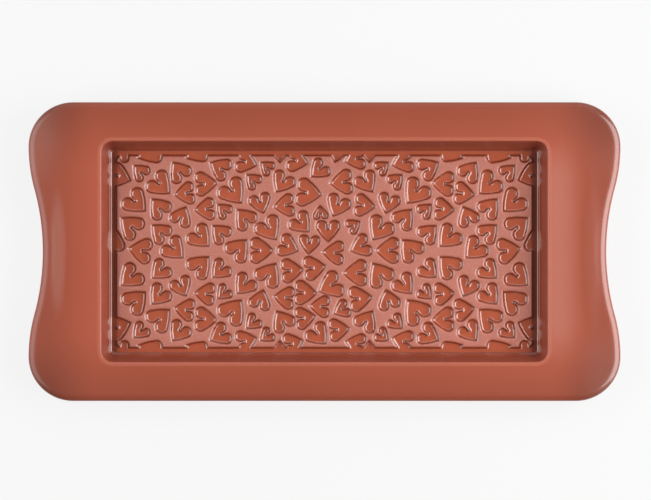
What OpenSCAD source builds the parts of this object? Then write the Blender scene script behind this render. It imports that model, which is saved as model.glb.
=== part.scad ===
// Silicone mould for one chocolate bar with a scattered-heart relief.
// The origin is on the table, under the middle of the mould. X runs along the bar.

/* [Overall size] */
// Length over both ends
length = 213; // [200:1:240]
// Width over both long sides
width = 107.5; // [100:0.5:130]
// Height of the rim above the table
height = 11; // [11:0.5:16]

/* [Outline of the rim] */
// Radius of the four outer corners
corner_r = 16; // [12:1:20]
// How far each short end is drawn in at its middle
waist_depth = 5.1; // [3:0.1:7]
// Share of a short end's bend that is its drawn-in middle. The shoulders are the rest.
waist_share = 0.6; // [0.5:0.05:0.75]
// Rounding of the outer edge, along the top
edge_r = 1.8; // [1:0.1:2]

/* [Rim and skirt] */
// Thickness of the rim
rim_t = 2.2; // [2:0.1:3]
// Thickness of the skirt that is turned down round the rim
skirt_t = 2; // [1.4:0.1:3]
// Rounding of the inner corner between the rim and the skirt
under_r = 0.6; // [0.4:0.1:1]

/* [Grip ridges] */
// Height of the soft ridge at each short end
ridge_h = 0.3; // [0.2:0.05:0.5]
// Width of the ridge
ridge_w = 7; // [5:0.5:9]
// Length of the ridge
ridge_l = 54; // [40:1:60]
// Distance from the drawn-in edge to the middle of the ridge
ridge_inset = 5.7; // [5.4:0.1:7]

/* [Bar cavity] */
// Width of the rim from the cavity to the outer end
end_rim = 26.25; // [24:0.25:30]
// Width of the rim from the cavity to a long side
side_rim = 14; // [11.5:0.25:16]
// How far the walls lean in from the rim down to the floor
wall_lean = 2.8; // [1.5:0.1:3.4]
// Radius of the cavity's corners at the rim
bar_corner_r = 4.2; // [4:0.1:7]
// Rounding of the edge between the rim and the cavity
lip_r = 0.7; // [0.4:0.1:1]
// Rounding between the walls and the floor
foot_r = 0.7; // [0.4:0.1:0.8]
// Thickness of the cavity's walls and floor
wall_t = 2; // [1.5:0.1:3]

/* [Heart relief] */
// How far the hearts are sunk into the land between them
relief_depth = 1.4; // [0.6:0.1:1.6]
// Width of the channel between the land and the walls
channel_w = 2.2; // [1.8:0.1:3]
// Radius of the land's corners
land_corner_r = 2; // [1:0.1:4]

/* [Hidden] */
$fn = 64;

silicone = "#A9553D";
past = 1; // how far a cutting shape runs past what it cuts
arc_steps = 6; // flats in each rounding of an edge

// The outline of a short end runs through three arcs that meet without a kink:
// a corner, a wide shoulder whose centre is level with the corner's, and the waist.
corner_x = length / 2 - corner_r;
corner_y = width / 2 - corner_r;
// The radii of the waist and a shoulder add up to end_bend, which sets how deep the waist is.
end_bend = round(500 * (corner_y * corner_y / waist_depth + waist_depth)) / 1000;
waist_r = round(1000 * waist_share * end_bend) / 1000;
shoulder_r = end_bend - waist_r;
waist_x = length / 2 - waist_depth + waist_r;
shoulder_x = length / 2 - shoulder_r;
// Half the angle of the waist arc, which ends where the shoulders begin
waist_angle = asin(corner_y / end_bend);
// The waist is cut from a fan-shaped piece that runs on a little way into both shoulders.
// Its arc lies this far inside theirs, so that no two surfaces nearly coincide.
waist_set = 0.02;
fan_x = end_bend * cos(waist_angle + 0.3);
fan_y = end_bend * sin(waist_angle + 0.3);

// Length and width of the cavity at the rim, and its depth down to the floors of the hearts.
// Its walls lean by lean_angle, and its corners keep their centres at every depth.
bar_l = length - 2 * end_rim;
bar_w = width - 2 * side_rim;
bar_depth = height - wall_t;
lean_angle = atan(wall_lean / bar_depth);
floor_z = wall_t;
tub_z = height - rim_t / 2; // the tub's walls end inside the rim
bar_corner_x = bar_l / 2 - bar_corner_r;
bar_corner_y = bar_w / 2 - bar_corner_r;

land_l = bar_l - 2 * (wall_lean + channel_w);
land_w = bar_w - 2 * (wall_lean + channel_w);

// The ridge is the top of a bead of radius bead_r, bent lengthwise to radius bend_r. Both
// follow from how wide and how long it shows above the rim. It runs on past out of sight.
ridge_x = length / 2 - waist_depth - ridge_inset;
bead_r = (ridge_w * ridge_w / 4 + ridge_h * ridge_h) / (2 * ridge_h);
bend_r = (ridge_l * ridge_l / 4 + ridge_h * ridge_h) / (2 * ridge_h);
ridge_angle = asin((ridge_l / 2 + 3 * past) / bend_r);

// A heart of width 1 has its tip at 0 and its notch along X. Each lobe is a circle, and
// each side is an arc that leaves the tip at side_angle and runs into the lobe.
lobe_x = 0.665;
lobe_y = 0.265;
lobe_r = 0.235;
side_angle = 49;
side_r = (lobe_x * lobe_x + lobe_y * lobe_y - lobe_r * lobe_r)
    / (2 * (lobe_x * sin(side_angle) - lobe_y * cos(side_angle) - lobe_r));
side_x = side_r * sin(side_angle);
side_y = -side_r * cos(side_angle);
// The tongue of land between the lobes: where it ends, its half width, and where it begins
tongue_x = 0.55;
tongue_y = 0.024;
gap_x = lobe_x + 0.02;

// Size of the land that the hearts are laid out for. On another land they spread with it.
layout_l = 150.5;
layout_w = 69.5;
spread_x = land_l / layout_l;
spread_y = land_w / layout_w;
heart_scale = min(spread_x, spread_y);

// Each heart is [x of the tip, y of the tip, direction from the tip to the notch, width],
// from the middle of the land. These are in one quarter, and repeat in all four.
quarter_hearts = [
    [-74.7, 39.1, -45, 7.7], [-70.1, 25.8, 160, 9.1], [-69.1, 31.2, -44, 6.7],
    [-73.8, 12.2, -40, 9.5], [-67.7, 34.0, 25, 9.5], [-64.8, 14.6, 137, 9.8],
    [-62.6, 19.1, -50, 8.5], [-62.5, 9.6, -42, 8.1], [-56.0, 21.0, 137, 9.7],
    [-55.1, 32.4, -54, 8.4], [-54.4, 20.5, 8, 8.2], [-50.2, 33.9, 28, 8.5],
    [-50.1, 16.3, -115, 8.1], [-47.1, 15.0, 5, 8.2], [-41.7, 1.9, 135, 9.4],
    [-41.5, 32.2, -28, 8.5], [-40.6, 9.4, -44, 7.9], [-38.9, 24.8, 183, 8.9],
    [-38.8, 17.1, -44, 6.2], [-31.7, 15.3, -50, 8.6], [-29.9, 17.5, 128, 10.4],
    [-28.3, 27.9, -43, 6.4], [-24.4, 31.4, 165, 8.5], [-23.2, 32.3, -38, 5.8],
    [-22.1, 13.8, 106, 8.1], [-17.5, 21.5, 58, 8.6], [-17.4, 4.2, 123, 9.8],
    [-16.2, 32.2, 90, 4.8],
];
// These lie along the middle of one half, and repeat in the other half.
row_hearts = [
    [-75.7, 8.5, -100, 9.0], [-71.0, 1.2, -10, 9.4], [-51.2, -2.3, 136, 9.2],
    [-28.0, 4.3, 228, 9.4], [-18.5, 0.4, 180, 9.5], [-9.3, 0.3, 158, 8.5],
];
// These fill the strip across the middle of the bar, once each.
middle_hearts = [
    [-18.4, 16.2, 7, 8.3], [18.4, 16.2, 173, 8.3], [-18.4, -16.2, -7, 8.3],
    [-5.8, 32.2, 170, 8.5], [-4.8, 27.1, 42, 7.8], [3.6, 32.3, 75, 5.2],
    [7.3, 32.7, 12, 8.2], [7.6, -32.6, -12, 8.0], [2.0, 24.7, 6, 9.1],
    [-1.0, 20.6, 172, 10.3], [3.0, 12.7, 66, 8.9], [-5.5, 7.1, 133, 8.6],
    [-1.7, 16.7, -85, 5.6], [1.3, 3.4, 90, 8.8], [13.0, 10.9, 212, 5.8],
    [-5.9, -1.0, 84, 7.7], [-0.8, -0.2, -3, 8.7], [-7.7, -6.6, 184, 8.8],
    [0.5, -5.3, 188, 8.9], [-2.8, -15.2, 177, 9.0], [-2.3, -14.4, 24, 10.0],
    [6.8, -7.8, 1, 9.6], [17.3, -16.5, 187, 9.3], [-5.4, -19.7, -3, 8.1],
    [3.3, -22.5, 26, 6.8], [-3.2, -23.4, 189, 8.2], [9.1, -27.9, 186, 8.3],
    [0.7, -33.5, 132, 9.0], [-7.6, -32.3, 195, 8.0],
];

// Points of a rounding of radius r about [x, z], from one direction to another
function rounding(x, z, r, from, to) =
    [for (step = [0:arc_steps])
        let (turn = from + (to - from) * step / arc_steps)
        [x + r * cos(turn), z + r * sin(turn)]];

// Half of a section through a block, out to a straight side or to an arc of radius reach
module block_section(reach, low_z, high_z, round_r) {
    polygon(concat(
        [[0, low_z], [reach, low_z]],
        rounding(reach - round_r, high_z - round_r, round_r, 0, 90),
        [[0, high_z]]
    ));
}

// What a waist takes out of a block, in section from the middle of its arc
module waist_section(reach, low_z, high_z, round_r) {
    polygon(concat(
        [[0, low_z - past], [reach, low_z - past]],
        rounding(reach + round_r, high_z - round_r, round_r, 180, 90),
        [[reach + round_r, high_z + past], [0, high_z + past]]
    ));
}

// A block with the mould's outline, drawn in by inset all round, its top edge rounded.
// It is built stretch by stretch: the long sides, the corners, the shoulders and the waists.
module block(inset, low_z, high_z, round_r) {
    for (side = [0, 1])
        mirror([0, side, 0])
            rotate([90, 0, 90])
                linear_extrude(2 * corner_x, center = true)
                    block_section(width / 2 - inset, low_z, high_z, round_r);
    for (end = [0, 1])
        mirror([end, 0, 0]) {
            for (side = [0, 1])
                mirror([0, side, 0]) {
                    translate([corner_x, corner_y, 0])
                        rotate_extrude(angle = 90)
                            block_section(corner_r - inset, low_z, high_z, round_r);
                    translate([shoulder_x, corner_y, 0])
                        mirror([0, 1, 0])
                            rotate_extrude(angle = waist_angle)
                                block_section(shoulder_r - inset, low_z, high_z, round_r);
                }
            difference() {
                translate([waist_x, 0, low_z])
                    linear_extrude(high_z - low_z)
                        polygon([[0, 0], [-fan_x, fan_y], [-fan_x, -fan_y]]);
                translate([waist_x, 0, 0])
                    rotate_extrude()
                        waist_section(waist_r + inset + waist_set, low_z, high_z, round_r);
            }
        }
}

// The rim, with its edge rounded over into the skirt that is turned down all round
module rim_and_skirt() {
    difference() {
        block(0, 0, height, edge_r);
        block(skirt_t, -past, height - rim_t, under_r);
    }
}

// How far a wall reaches at height z, if it reaches to reach at the rim
function reach_at(reach, z) = reach - (height - z) * tan(lean_angle);

// How far a rounding of radius r runs along the flat that meets the wall
function rounding_run(r) = r * tan(45 - lean_angle / 2);

// Points of the rounding at the foot of a leaning wall, from the flat to the wall
function foot_points(reach, low_z, r) =
    rounding(reach_at(reach, low_z) - rounding_run(r), low_z + r, r, -90, -lean_angle);

// Half of a section through the hollow of the bar, with the rim rounded into it
module hollow_section() {
    lip_x = bar_corner_r + rounding_run(lip_r);
    polygon(concat(
        [[0, floor_z]],
        foot_points(bar_corner_r, floor_z, foot_r),
        rounding(lip_x, height - lip_r, lip_r, 180 - lean_angle, 90),
        [[lip_x, height + past], [0, height + past]]
    ));
}

// Half of a section through the outside of the tub round that hollow
module tub_section() {
    reach = bar_corner_r + wall_t / cos(lean_angle);
    polygon(concat(
        [[0, 0]],
        foot_points(reach, 0, foot_r + wall_t),
        [[reach_at(reach, tub_z), tub_z], [0, tub_z]]
    ));
}

// A body with the bar's outline and the section of the children, from the bar's corner
// centres outward: a core, four straight walls and four round corners
module bar_form(low_z, high_z) {
    translate([-bar_corner_x, -bar_corner_y, low_z])
        cube([2 * bar_corner_x, 2 * bar_corner_y, high_z - low_z]);
    for (side = [0, 1])
        mirror([0, side, 0])
            translate([0, bar_corner_y, 0])
                rotate([90, 0, 90])
                    linear_extrude(2 * bar_corner_x, center = true)
                        children();
    for (end = [0, 1])
        mirror([end, 0, 0]) {
            translate([bar_corner_x, 0, 0])
                rotate([90, 0, 0])
                    linear_extrude(2 * bar_corner_y, center = true)
                        children();
            for (side = [0, 1])
                mirror([0, side, 0])
                    translate([bar_corner_x, bar_corner_y, 0])
                        rotate_extrude(angle = 90)
                            children();
        }
}

// A heart of width w, with its tip at 0 and its notch along X. The flats of its sides end
// a little way inside the lobes.
module heart(w) {
    lobe_turn = atan2(lobe_y - side_y, lobe_x - side_x);
    tip_turn = atan2(-side_y, -side_x);
    upper = concat(
        [for (step = [0:3])
            let (turn = tip_turn + (lobe_turn - tip_turn) * step / 4)
            [side_x + side_r * cos(turn), side_y + side_r * sin(turn)]],
        [[lobe_x + 0.93 * lobe_r * cos(lobe_turn), lobe_y + 0.93 * lobe_r * sin(lobe_turn)]],
        [[lobe_x, lobe_y], [gap_x, lobe_y - lobe_r], [tongue_x, tongue_y]]
    );
    polygon(w * concat(upper, [for (i = [7:-1:1]) [upper[i][0], -upper[i][1]]]));
    for (side = [-1, 1])
        translate([w * lobe_x, side * w * lobe_y])
            circle(r = w * lobe_r);
}

module place_hearts(table) {
    for (h = table)
        translate([h[0] * spread_x, h[1] * spread_y])
            rotate(h[2])
                heart(h[3] * heart_scale);
}

// All hearts of the relief, those that run off the land's edge too
module hearts() {
    for (end = [0, 1])
        mirror([end, 0]) {
            place_hearts(row_hearts);
            for (side = [0, 1])
                mirror([0, side])
                    place_hearts(quarter_hearts);
        }
    place_hearts(middle_hearts);
}

// The land between the hearts, which stands on the floor with a channel round it
module land() {
    translate([0, 0, floor_z - wall_t / 2])
        linear_extrude(wall_t / 2 + relief_depth)
            difference() {
                union() {
                    square([land_l, land_w - 2 * land_corner_r], center = true);
                    square([land_l - 2 * land_corner_r, land_w], center = true);
                    for (x = [-1, 1], y = [-1, 1])
                        translate([x * (land_l / 2 - land_corner_r), y * (land_w / 2 - land_corner_r)])
                            circle(r = land_corner_r);
                }
                hearts();
            }
}

// One of the two soft ridges across the short ends: the top of a flat bead that is bent
// down lengthwise, so that it runs out into the rim on every side
module grip_ridge() {
    translate([ridge_x, 0, height + ridge_h - bend_r])
        rotate([0, -90, 0])
            rotate(-ridge_angle)
                rotate_extrude(angle = 2 * ridge_angle, $fn = 1440)
                    intersection() {
                        translate([bend_r - bead_r, 0])
                            circle(r = bead_r);
                        translate([bend_r - rim_t / 2, -ridge_w / 2 - past / 2])
                            square([rim_t, ridge_w + past]);
                    }
}

module mould() {
    color(silicone) {
        difference() {
            union() {
                rim_and_skirt();
                bar_form(0, tub_z)
                    tub_section();
            }
            bar_form(floor_z, height + past)
                hollow_section();
        }
        land();
        for (end = [0, 1])
            mirror([end, 0, 0])
                grip_ridge();
    }
}

mould();
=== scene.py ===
"""A silicone mould for one chocolate bar, seen from straight above on a white table."""

import math

import bpy
import numpy as np
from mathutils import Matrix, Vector, geometry
from mathutils.kdtree import KDTree


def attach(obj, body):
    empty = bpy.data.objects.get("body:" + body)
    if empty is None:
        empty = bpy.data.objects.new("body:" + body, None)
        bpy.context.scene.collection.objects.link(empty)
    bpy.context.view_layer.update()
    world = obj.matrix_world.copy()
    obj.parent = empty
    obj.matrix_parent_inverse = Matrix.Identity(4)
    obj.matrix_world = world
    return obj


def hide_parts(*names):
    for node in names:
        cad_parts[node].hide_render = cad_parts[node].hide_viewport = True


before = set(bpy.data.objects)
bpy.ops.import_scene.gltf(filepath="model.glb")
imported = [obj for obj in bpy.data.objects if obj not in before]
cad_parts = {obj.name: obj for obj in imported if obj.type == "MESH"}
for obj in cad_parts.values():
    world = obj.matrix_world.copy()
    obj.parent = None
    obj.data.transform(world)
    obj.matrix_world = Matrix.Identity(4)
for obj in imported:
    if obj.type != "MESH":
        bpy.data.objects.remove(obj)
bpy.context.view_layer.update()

# Sizes of the mould in millimetres, as in the part's source
HALF_LENGTH, HALF_WIDTH, RIM = 106.5, 53.75, 11.0
CORNER_R, WAIST_DEPTH, WAIST_R = 16.0, 5.1, 85.357
EDGE_R, SKIRT, UNDER_R, RIM_UNDERSIDE = 1.8, 2.0, 0.6, 8.8
BAR_CORNER = (76.05, 35.55)
BAR_CORNER_R, BAR_DEPTH, LIP_R, FOOT_R, WALL = 4.2, 9.0, 0.7, 0.7, 2.0
LEAN = math.atan(2.8 / BAR_DEPTH)
RIDGE_X, RIDGE_H, RIDGE_W, RIDGE_L = 95.7, 0.29, 7.0, 54.0

# Softer edges than the source has: how far the rim's edge rolls in, the skirt's foot, and how
# softly the ridges run out
EDGE_REACH, FOOT_EDGE_R, RIDGE_SOFTNESS = 3.0, 0.4, 0.05

# A pocket's wall in section: the land is rounded over into it, and it runs out into the floor
LAND_EDGE_R, POCKET_FOOT_R, STEEPEST = 1.1, 0.95, math.radians(68)
EDGE_START = 0.92

# Spacing of the relief's points, in millimetres: along the land's edges, over flat ground, the
# least between any two, and the room left free along the border
EDGE_GAP, FLAT_GAP, LEAST_GAP, BORDER_GAP = 0.46, 1.1, 0.06, 0.25
CORNER_TURN = 28  # degrees between two edges from which they meet in a sharp corner
ROW_ERROR = 0.03  # how far a row's points may lie from the distance they stand for


# Outlines: every point of one is (x, y, outward x, outward y)

def arc(centre, radius, start, end, steps, inward=False):
    """Points along an arc. With inward the mould lies outside the arc, as at a waist."""
    turns = np.radians(np.linspace(start, end, steps, endpoint=False))
    across = np.stack([np.cos(turns), np.sin(turns)], 1)
    return np.hstack([np.array(centre) + radius * across, -across if inward else across])


def line(start, end, outward, steps):
    """Points along a straight side, without its last one."""
    share = np.linspace(0, 1, steps, endpoint=False)[:, None]
    points = np.array(start) * (1 - share) + np.array(end) * share
    return np.hstack([points, np.tile(outward, (steps, 1))])


def all_round(quarter):
    """Closes a quarter of an outline, which runs from a long side's middle to an end's middle."""
    def turned(points, x, y):
        return points * np.array([x, y, x, y])
    back = quarter[::-1]
    end = np.vstack([quarter, turned(back, 1, -1)[1:]])
    return np.vstack([end[:-1], turned(end[::-1], -1, 1)[:-1]])


def rim_outline():
    """The outer edge, seen from above."""
    corner = (HALF_LENGTH - CORNER_R, HALF_WIDTH - CORNER_R)
    waist_x = HALF_LENGTH - WAIST_DEPTH + WAIST_R
    shoulder_r = (corner[1] ** 2 / WAIST_DEPTH + WAIST_DEPTH) / 2 - WAIST_R
    waist_angle = math.degrees(math.asin(corner[1] / (shoulder_r + WAIST_R)))
    return all_round(np.vstack([
        line((0, HALF_WIDTH), (corner[0], HALF_WIDTH), (0, 1), 22),
        arc(corner, CORNER_R, 90, 0, 24),
        arc((HALF_LENGTH - shoulder_r, corner[1]), shoulder_r, 0, -waist_angle, 12),
        arc((waist_x, 0), WAIST_R, 180 - waist_angle, 180, 18, inward=True),
        [[waist_x - WAIST_R, 0, 1, 0]],
    ]))


def bar_outline():
    """The line through the bar's corner centres, which the walls stand out from."""
    x, y = BAR_CORNER
    return all_round(np.vstack([
        line((0, y), (x, y), (0, 1), 22),
        arc((x, y), 1e-9, 90, 0, 24),
        line((x, y), (x, 0), (1, 0), 30),
        [[x, 0, 1, 0]],
    ]))


def ring(outline, out, z):
    """A closed row of points at height z, moved out from the outline."""
    flat = outline[:, :2] + out * outline[:, 2:]
    return np.column_stack([flat, np.full(len(flat), z)])


def rounding(centre, radius, start, end, steps):
    """An edge's rounding in section, as (out, z)."""
    turns = np.radians(np.linspace(start, end, steps + 1))
    return [(centre[0] + radius * math.cos(t), centre[1] + radius * math.sin(t)) for t in turns]


def reach_at(reach, z):
    """How far a leaning wall stands out at height z, if it stands out by reach at the rim."""
    return reach - (RIM - z) * math.tan(LEAN)


def rounding_run(radius):
    """How much of the flat a rounding takes where a leaning wall meets it."""
    return radius * math.tan(math.pi / 4 - LEAN / 2)


# The relief

def levels(cad):
    """Heights of the pockets' floors and of the land between them, in millimetres."""
    heights = [
        round(face.center.z * 1000, 2) for face in cad.data.polygons
        if face.normal.z > 0.99 and abs(face.center.x) < 0.07 and abs(face.center.y) < 0.03
    ]
    return min(heights), max(heights)


def land_loops(cad, level):
    """The closed lines round the land, with the land on their left."""
    cad.data.calc_loop_triangles()
    points = np.array([v.co for v in cad.data.vertices]) * 1000
    faces = np.array([t.vertices[:] for t in cad.data.loop_triangles])
    a, b, c = (points[faces[:, i]] for i in range(3))
    up = np.cross(b - a, c - a)[:, 2] > 1e-9
    flat = np.abs(points[faces][:, :, 2] - level).max(1) < 0.01
    faces = faces[up & flat]
    keys, same = np.unique(np.round(points[:, :2], 3), axis=0, return_inverse=True)
    faces = same.reshape(-1)[faces]
    edges = np.vstack([faces[:, [0, 1]], faces[:, [1, 2]], faces[:, [2, 0]]])
    edges = edges[edges[:, 0] != edges[:, 1]]
    known = set(map(tuple, edges.tolist()))
    follow = {}
    for start, end in known:
        if (end, start) not in known:
            follow.setdefault(start, []).append(end)
    loops = []
    while follow:
        here = first = next(iter(follow))
        loop = []
        while here in follow:
            loop.append(here)
            ends = follow[here]
            nxt = ends.pop()
            if not ends:
                del follow[here]
            here = nxt
            if here == first:
                break
        if len(loop) > 2:
            loops.append(keys[loop])
    return loops


def smooth_run(points, spacing):
    """Evenly spaced points on a smooth curve through the given ones, the last one left out."""
    steps = np.linalg.norm(np.diff(points, axis=0), axis=1)
    count = max(1, int(round(steps.sum() / spacing)))
    before = np.vstack([2 * points[0] - points[1], points, 2 * points[-1] - points[-2]])
    slope = (before[2:] - before[:-2]) / 2
    at = np.interp(
        np.linspace(0, steps.sum(), count, endpoint=False),
        np.concatenate([[0], np.cumsum(steps)]), np.arange(len(points)),
    )
    i = np.minimum(at.astype(int), len(points) - 2)
    t = (at - i)[:, None]
    return (
        (2 * t ** 3 - 3 * t ** 2 + 1) * points[i] + (t ** 3 - 2 * t ** 2 + t) * slope[i]
        + (3 * t ** 2 - 2 * t ** 3) * points[i + 1] + (t ** 3 - t ** 2) * slope[i + 1]
    )


def land_edge(loops, spacing):
    """Points along the land's edges with their directions into the land, fanned out at corners."""
    points, inward, fans = [], [], []
    for loop in loops:
        ahead = np.roll(loop, -1, 0) - loop
        ahead /= np.linalg.norm(ahead, axis=1)[:, None]
        behind = np.roll(ahead, 1, 0)
        turn = np.degrees(np.arctan2(
            behind[:, 0] * ahead[:, 1] - behind[:, 1] * ahead[:, 0], (behind * ahead).sum(1),
        ))
        corners = np.flatnonzero(np.abs(turn) > CORNER_TURN)
        if len(corners) == 0:
            corners = np.array([0])
        for n, start in enumerate(corners):
            stop = corners[(n + 1) % len(corners)]
            span = (stop - start) % len(loop) or len(loop)
            run = smooth_run(loop[np.arange(start, start + span + 1) % len(loop)], spacing)
            if len(run) > 1:
                along = np.gradient(run, axis=0)
            else:
                along = loop[[stop]] - run
            along /= np.maximum(np.linalg.norm(along, axis=1), 1e-9)[:, None]
            normal = np.stack([-along[:, 1], along[:, 0]], 1)
            points.append(run)
            inward.append(normal)
            for share in np.linspace(0, 1, 6):
                way = behind[start] * (1 - share) + ahead[start] * share
                way /= max(np.linalg.norm(way), 1e-9)
                fans.append([*loop[start], -way[1], way[0]])
    return np.vstack(points), np.vstack(inward), np.array(fans)


class Distance:
    """Distance of points from the land's edges, above 0 in the land and below 0 in the pockets."""

    def __init__(self, loops):
        starts, ends = [], []
        for loop in loops:
            corners = np.vstack([loop, loop[:1]])
            dense = []
            for a, b in zip(corners[:-1], corners[1:]):
                count = max(1, int(np.linalg.norm(b - a) / LEAST_GAP))
                dense.append(a + (b - a) * (np.arange(count) / count)[:, None])
            dense = np.vstack(dense)
            starts.append(dense)
            ends.append(np.roll(dense, -1, 0))
        self.start, self.end = np.vstack(starts), np.vstack(ends)
        sizes = [len(s) for s in starts]
        offsets = np.cumsum([0] + sizes[:-1])
        self.before = np.concatenate([
            offset + (np.arange(size) - 1) % size for offset, size in zip(offsets, sizes)
        ])
        self.tree = KDTree(len(self.start))
        for i, (x, y) in enumerate(self.start):
            self.tree.insert((x, y, 0), i)
        self.tree.balance()

    def __call__(self, points):
        near = np.array([self.tree.find((x, y, 0))[1] for x, y in points])
        best = np.full(len(points), 1e9)
        side = np.zeros(len(points))
        for piece in (near, self.before[near]):
            a, b = self.start[piece], self.end[piece]
            along = b - a
            share = ((points - a) * along).sum(1) / np.maximum((along ** 2).sum(1), 1e-12)
            gap = points - (a + along * np.clip(share, 0, 1)[:, None])
            far = np.linalg.norm(gap, axis=1)
            left = along[:, 0] * gap[:, 1] - along[:, 1] * gap[:, 0]
            left /= np.maximum(np.linalg.norm(along, axis=1) * np.maximum(far, 1e-9), 1e-12)
            closer = far < best - 1e-6
            same = np.abs(far - best) <= 1e-6
            side = np.where(closer, left, np.where(same, side + left, side))
            best = np.minimum(best, far)
        return best * np.where(side >= 0, 1, -1)


def pocket_wall(floor, land, steps):
    """Distances from the land's edge, and the heights there, down over a pocket's wall."""
    turns = np.linspace(0, STEEPEST, steps)
    over = EDGE_START - LAND_EDGE_R * np.sin(turns)
    over_z = land - LAND_EDGE_R * (1 - np.cos(turns))
    foot_z = floor + POCKET_FOOT_R * (1 - np.cos(turns[::-1]))
    straight = (over_z[-1] - foot_z[0]) / math.tan(STEEPEST)
    foot = over[-1] - straight - POCKET_FOOT_R * (math.sin(STEEPEST) - np.sin(turns[::-1]))
    return np.concatenate([over, foot]), np.concatenate([over_z, foot_z])


def relief_height(distance, floor, land):
    """The height at each distance from the land's edges."""
    out, z = pocket_wall(floor, land, 60)
    return np.interp(distance, out[::-1], z[::-1])


def relief_points(loops, distance, wall, border):
    """The border, rows of points down every pocket's wall, and a wider spread between them."""
    points, inward, fans = land_edge(loops, EDGE_GAP)
    rows = []
    for out in wall:
        rows.append((points + inward * out, out))
        if abs(out) > 0.1:
            rows.append((fans[:, :2] + fans[:, 2:] * out, out))
    kept = []
    for moved, out in rows:
        kept.append(moved[np.abs(distance(moved) - out) < ROW_ERROR])
    x, y = np.meshgrid(np.arange(-77, 77.1, FLAT_GAP), np.arange(-37, 37.1, FLAT_GAP))
    x[1::2] += FLAT_GAP / 2
    spread = np.stack([x.ravel(), y.ravel()], 1)
    depth = distance(spread)
    kept.append(spread[(depth > wall.max() + 0.5) | (depth < wall.min() - 0.5)])
    every = np.vstack(kept)
    half = border[:, :2].max(0) - BORDER_GAP
    every = every[(np.abs(every) < half).all(1)]
    _, first = np.unique(np.round(every / LEAST_GAP).astype(int), axis=0, return_index=True)
    return np.vstack([border[:, :2], every[np.sort(first)]])


def mesh_piece(name, points, faces, material):
    mesh = bpy.data.meshes.new(name)
    mesh.from_pydata([tuple(p) for p in points / 1000], [], faces)
    mesh.validate()
    mesh.materials.append(material)
    mesh.polygons.foreach_set("use_smooth", [True] * len(mesh.polygons))
    piece = bpy.data.objects.new(name, mesh)
    bpy.context.scene.collection.objects.link(piece)
    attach(piece, "root")
    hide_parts("mould")
    return piece


def heart_relief(cad, border, material):
    """The cavity's floor, with the hearts sunk into the land."""
    floor, land = levels(cad)
    loops = land_loops(cad, land)
    distance = Distance(loops)
    flat = relief_points(loops, distance, pocket_wall(floor, land, 5)[0], border)
    flat, _, faces, *_ = geometry.delaunay_2d_cdt(
        [Vector(p) for p in flat], [], [], 0, 1e-5, False,
    )
    flat = np.array([p[:] for p in flat])
    height = relief_height(distance(flat), floor, land)
    height[:len(border)] = floor
    return mesh_piece("heart_relief", np.column_stack([flat, height]), faces, material)


def rim_and_tub(material):
    """Everything round the relief, as rows of points from the cavity's floor out over the rim,
    down the skirt and back in under it to the bottom of the tub."""
    rim, bar = rim_outline(), bar_outline()
    floor = RIM - BAR_DEPTH
    foot = (reach_at(BAR_CORNER_R, floor) - rounding_run(FOOT_R), floor + FOOT_R)
    lip = (BAR_CORNER_R + rounding_run(LIP_R), RIM - LIP_R)
    lean = math.degrees(LEAN)
    inside = rounding(foot, FOOT_R, -90, -lean, 7) + rounding(lip, LIP_R, 180 - lean, 90, 8)
    rows = [ring(bar, out, z) for out, z in inside]
    outer_edge = [
        (-EDGE_REACH + across * EDGE_REACH, RIM - EDGE_R + up * EDGE_R)
        for across, up in rounding((0, 0), 1, 90, 0, 12)
    ]
    lip_row, edge_row = rows[-1], ring(rim, outer_edge[0][0], RIM)
    for share in np.linspace(0, 1, 18)[1:-1]:
        row = lip_row * (1 - share) + edge_row * share
        row[:, 2] += grip_ridge(row)
        rows.append(row)
    skirt = (
        outer_edge
        + rounding((-FOOT_EDGE_R, FOOT_EDGE_R), FOOT_EDGE_R, 0, -90, 4)
        + rounding((-SKIRT + FOOT_EDGE_R, FOOT_EDGE_R), FOOT_EDGE_R, -90, -180, 4)
        + rounding((-SKIRT - UNDER_R, RIM_UNDERSIDE - UNDER_R), UNDER_R, 0, 90, 5)
    )
    rows += [ring(rim, out, z) for out, z in skirt]
    tub_reach = BAR_CORNER_R + WALL / math.cos(LEAN)
    tub_foot = FOOT_R + WALL
    under = [(reach_at(tub_reach, RIM_UNDERSIDE), RIM_UNDERSIDE)]
    under += rounding(
        (reach_at(tub_reach, 0) - rounding_run(tub_foot), tub_foot), tub_foot, -lean, -90, 8,
    )
    rows += [ring(bar, out, z) for out, z in under]
    rows.append(rows[-1] * 0.96)
    points = np.vstack(rows + [[[0, 0, 0]]])
    count = len(bar)
    faces = []
    for row in range(len(rows) - 1):
        for i in range(count):
            j = (i + 1) % count
            a, b = row * count, (row + 1) * count
            faces.append((a + i, a + j, b + j, b + i))
    middle = len(points) - 1
    faces += [(middle - count + i, middle - count + (i + 1) % count, middle) for i in range(count)]
    return mesh_piece("rim_and_tub", points, faces, material), rows[0]


def grip_ridge(points):
    """Height of the soft ridges over the rim at the given points."""
    bead = RIDGE_W ** 2 / 8 / RIDGE_H
    bend = RIDGE_L ** 2 / 8 / RIDGE_H
    height = (
        RIDGE_H - (np.abs(points[:, 0]) - RIDGE_X) ** 2 / 2 / bead - points[:, 1] ** 2 / 2 / bend
    )
    return np.minimum(RIDGE_SOFTNESS * np.logaddexp(0, height / RIDGE_SOFTNESS), RIDGE_H)


# Finishes

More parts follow.
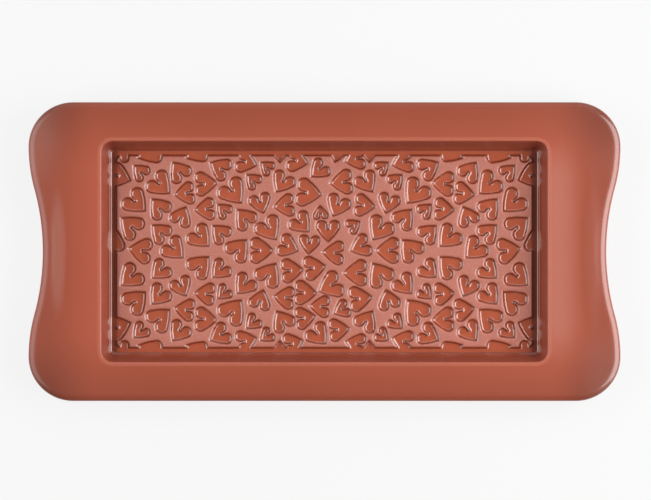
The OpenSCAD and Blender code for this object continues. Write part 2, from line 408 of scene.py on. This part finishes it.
class Shade:
    """A socket that gives a number, colour or shader, to be worked with in an expression."""

    def __init__(self, finish, socket):
        self.finish, self.socket = finish, socket

    def math(self, operation, *values):
        return self.finish.node(
            "ShaderNodeMath", {"operation": operation}, dict(enumerate(values)),
        )["Value"]

    def __add__(self, other):
        return self.math("ADD", self, other)

    def __mul__(self, other):
        return self.math("MULTIPLY", self, other)

    def __sub__(self, other):
        return self.math("SUBTRACT", self, other)

    def __rsub__(self, other):
        return self.math("SUBTRACT", other, self)

    def __pow__(self, power):
        return self.math("POWER", self, power)

    def __abs__(self):
        return self.math("ABSOLUTE", self)

    __radd__, __rmul__ = __add__, __mul__


class Finish:
    """A material under construction."""

    def __init__(self, name):
        self.material = bpy.data.materials.new(name)
        self.material.use_nodes = True
        self.material.node_tree.nodes.clear()

    def node(self, kind, settings=None, sockets=None):
        made = self.material.node_tree.nodes.new(kind)
        for name, value in (settings or {}).items():
            setattr(made, name, value)
        for key, value in (sockets or {}).items():
            if isinstance(value, Shade):
                self.material.node_tree.links.new(value.socket, made.inputs[key])
            else:
                made.inputs[key].default_value = value
        return Outlets(self, made)

    def between(self, value, low, high):
        """0 where value is under low and 1 where it is over high, with a smooth step between."""
        return self.node(
            "ShaderNodeMapRange", {"interpolation_type": "SMOOTHSTEP"},
            {"Value": value, "From Min": low, "From Max": high},
        )["Result"]

    def mixed(self, share, first, second):
        return self.node(
            "ShaderNodeMix", {"data_type": "RGBA"}, {0: share, 6: first, 7: second},
        )[2]

    def surface(self, shader):
        self.node("ShaderNodeOutputMaterial", None, {"Surface": shader})
        return self.material


class Outlets:
    """The outputs of a node, each as a Shade."""

    def __init__(self, finish, made):
        self.finish, self.made = finish, made

    def __getitem__(self, key):
        return Shade(self.finish, self.made.outputs[key])


def colour(red, green, blue):
    """A colour as Blender wants it, from the 0 to 255 values that a screen shows."""
    def plain(value):
        value /= 255
        return value / 12.92 if value <= 0.04045 else ((value + 0.055) / 1.055) ** 2.4
    return (plain(red), plain(green), plain(blue), 1.0)


def red_silicone(finish, place, dark, pale):
    """The silicone's colour, a little cloudy."""
    cloud = finish.node(
        "ShaderNodeTexNoise", None, {"Vector": place, "Scale": 45.0, "Detail": 4.0},
    )["Fac"]
    return finish.mixed(cloud, dark, pale)


def fine_grain(finish, place):
    """The grain of the blasted mould steel."""
    return finish.node(
        "ShaderNodeTexNoise", None, {"Vector": place, "Scale": 1500.0, "Detail": 3.0},
    )["Fac"]


def grained(finish, grain):
    """The grain as a fine bump."""
    return finish.node(
        "ShaderNodeBump", None, {"Strength": 0.08, "Distance": 0.0001, "Height": grain},
    )["Normal"]


def relief_silicone():
    """Polished in the hearts, matt and paler on the land, partly with painted sheen, and with
    painted shade darkening the walls between and the channels at the ends.
    """
    finish = Finish("relief_silicone")
    place = finish.node("ShaderNodeTexCoord")["Object"]
    axes = finish.node("ShaderNodeSeparateXYZ", None, {0: place})
    z = axes["Z"] * 1000
    land = finish.between(z, 3.1, 3.36)
    # Where painted shade falls: the channels at the cavity's two ends.
    end_channel_shade = finish.between(abs(axes["X"] * 1000), 74.6, 75.6) * (1 - land)
    wall = finish.between(z, 2.12, 2.4) * (1 - finish.between(z, 2.85, 3.25))
    base = red_silicone(finish, place, colour(179, 88, 60), colour(187, 94, 66))
    # The land's paler, greyer colour is partly its matt finish's own tone and partly painted
    # sheen, flecked by the grain.
    base = finish.mixed(land * 0.8, base, colour(182, 116, 101))
    grain = fine_grain(finish, place)
    base = finish.mixed(land * finish.between(grain, 0.45, 0.7) * 0.3, base, colour(196, 150, 142))
    # Painted shade: the pockets' walls are darkened towards a deep brown.
    base = finish.mixed(wall * 0.72, base, colour(66, 24, 15))
    # Painted shade: the channels at the cavity's two ends are darkened.
    base = finish.mixed(end_channel_shade * 0.5, base, colour(66, 24, 15))
    skin = finish.node("ShaderNodeBsdfPrincipled", None, {
        "Base Color": base,
        "Roughness": 0.12 + land * 0.28,
        "IOR": 1.5,
        "Coat Weight": 1 - land,
        "Coat Roughness": 0.1,
        "Coat IOR": 1.75,
        "Normal": grained(finish, grain),
    })["BSDF"]
    return finish.surface(skin)


def rim_silicone():
    """Matt on the rim and polished low on the cavity's walls, with painted sheen in cloudy pale
    patches over the rim's ends.
    Painted shade darkens the rim towards its outer edges and ends and darkens the cavity's walls,
    and painted highlights lighten the cavity's lip, the left ridge's top and a patch right of the
    cavity."""
    finish = Finish("rim_silicone")
    place = finish.node("ShaderNodeTexCoord")["Object"]
    axes = finish.node("ShaderNodeSeparateXYZ", None, {0: place})
    x, z = axes["X"] * 1000, axes["Z"] * 1000
    along, across = abs(x), abs(axes["Y"] * 1000)
    past_end = along.math("MAXIMUM", along - BAR_CORNER[0], 0.0)
    past_side = across.math("MAXIMUM", across - BAR_CORNER[1], 0.0)
    reach = (past_end ** 2 + past_side ** 2) ** 0.5
    in_cavity = (
        finish.between(z, 1.2, 1.9) * (1 - finish.between(reach - z * math.tan(LEAN), 1.6, 2.4))
    )
    wall = in_cavity * (1 - finish.between(reach, BAR_CORNER_R - 0.3, BAR_CORNER_R))
    polished = wall * (1 - finish.between(z, 3.9, 5.5))
    lip = finish.between(reach, 4.0, 4.5) * (1 - finish.between(reach, 4.9, 6.0))
    on_top = finish.between(z, 9.2, 10.6)
    cloud = finish.node(
        "ShaderNodeTexNoise", None, {"Vector": place, "Scale": 16.0, "Detail": 5.0},
    )["Fac"]
    # Painted sheen: cloudy pale patches over the rim's ends.
    end_sheen = finish.between(cloud, 0.42, 0.75) * finish.between(along, 90.0, 104.0) * on_top
    right = finish.between(x, 80.0, 100.0)
    middle = 1 - finish.between(across, 24.0, 44.0)
    # Painted shade: the rim darkens towards its outer long edges and towards its ends.
    shade = finish.between(across, 26.0, 58.0) * 0.3 + finish.between(along, 80.0, 102.0) * 0.3
    rolled_edge = (
        finish.between(along, 84.0, 98.0) * finish.between(z, 9.0, 9.8)
        * (1 - finish.between(z, 10.86, 10.98))
    )
    # Painted highlight along the top of the left ridge only.
    crest_highlight = finish.between(z, 11.04, 11.24) * (1 - right)
    # Painted highlight: a pale patch on the rim just right of the cavity.
    right_highlight = finish.between(x, 78.0, 83.0) * (1 - finish.between(along, 84.0, 94.0)) * middle
    grain = fine_grain(finish, place)
    base = red_silicone(finish, place, colour(170, 81, 57), colour(178, 87, 63))
    # Painted shade, mixed towards black.
    base = finish.mixed(shade, base, colour(0, 0, 0))
    # Painted sheen over the rim's ends, weaker in the middle of the right end.
    base = finish.mixed(end_sheen * (1 - right * middle) * 0.35, base, colour(176, 128, 116))
    # Painted highlight on the left ridge.
    base = finish.mixed(crest_highlight * 0.22, base, colour(186, 140, 128))
    # Painted highlight right of the cavity.
    base = finish.mixed(right_highlight * on_top * 0.26, base, colour(190, 142, 130))
    # Painted shade: the cavity's walls are darkened.
    base = finish.mixed(wall * 0.3, base, colour(60, 20, 12))
    # Painted highlight: a paler line along the cavity's lip.
    base = finish.mixed(lip * on_top * 0.28, base, colour(214, 140, 120))
    skin = finish.node("ShaderNodeBsdfPrincipled", None, {
        "Base Color": base,
        "Roughness": 0.4 - polished * 0.28 - lip * 0.14 - rolled_edge * 0.06,
        "IOR": 1.5,
        "Coat Weight": polished + rolled_edge * (0.1 + right * 0.35),
        "Coat Roughness": 0.1,
        "Coat IOR": 1.75,
        "Normal": grained(finish, grain),
    })["BSDF"]
    return finish.surface(skin)


def white_table():
    """Looks white to the camera and in reflections, and still takes the mould's shadow."""
    finish = Finish("white_table")
    plain = finish.node("ShaderNodeBsdfDiffuse", None, {"Color": (0.86, 0.86, 0.86, 1)})["BSDF"]
    glow = finish.node(
        "ShaderNodeEmission", None, {"Color": (0.94, 0.94, 0.94, 1), "Strength": 1.0},
    )["Emission"]
    ray = finish.node("ShaderNodeLightPath")
    seen = ray["Is Camera Ray"] + ray["Is Glossy Ray"] + ray["Is Transmission Ray"]
    return finish.surface(
        finish.node("ShaderNodeMixShader", None, {0: seen * 0.88, 1: plain, 2: glow})["Shader"]
    )


# The studio

def table():
    """A wide plain top, a hair below the mould so that they don't share a face."""
    mesh = bpy.data.meshes.new("table")
    half = 3.0
    corners = [(-half, -half, 0), (half, -half, 0), (half, half, 0), (-half, half, 0)]
    mesh.from_pydata(corners, [], [(0, 1, 2, 3)])
    mesh.materials.append(white_table())
    top = bpy.data.objects.new("table", mesh)
    top.location.z = -0.0002
    bpy.context.scene.collection.objects.link(top)


def softbox(name, place, size, power):
    """A lamp of the given size that looks at the mould."""
    lamp = bpy.data.lights.new(name, "AREA")
    lamp.shape = "RECTANGLE"
    lamp.size, lamp.size_y = size
    lamp.energy = power
    box = bpy.data.objects.new(name, lamp)
    box.location = place
    box.rotation_euler = (-Vector(place)).to_track_quat("-Z", "Y").to_euler()
    box.visible_camera = False
    bpy.context.scene.collection.objects.link(box)


def studio():
    """A light tent: a lit wall at each end and a faint one behind, and little light above."""
    softbox("right_wall", (0.48, 0.0, 0.33), (0.65, 0.5), 5.0)
    softbox("left_wall", (-0.48, 0.0, 0.33), (0.65, 0.5), 2.8)
    softbox("back_wall", (0.0, 0.55, 0.30), (0.8, 0.5), 1.0)
    world = bpy.data.worlds.new("room")
    world.use_nodes = True
    bpy.context.scene.world = world
    ground = world.node_tree.nodes["Background"]
    ground.inputs["Color"].default_value = (1, 1, 1, 1)
    ground.inputs["Strength"].default_value = 0.07
    bpy.context.scene.view_settings.view_transform = "Standard"


def camera():
    """Straight above, with the rim's plane 233.8 mm wide in the picture."""
    distance, seen_width = 0.9, 0.2338
    lens = bpy.data.cameras.new("camera")
    lens.sensor_width = 36
    lens.lens = 36 * distance / seen_width
    eye = bpy.data.objects.new("camera", lens)
    eye.location = (0.00036, 0.00058, distance + RIM / 1000)
    bpy.context.scene.collection.objects.link(eye)
    bpy.context.scene.camera = eye


_, cavity_floor = rim_and_tub(rim_silicone())
heart_relief(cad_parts["mould"], cavity_floor, relief_silicone())
table()
studio()
camera()
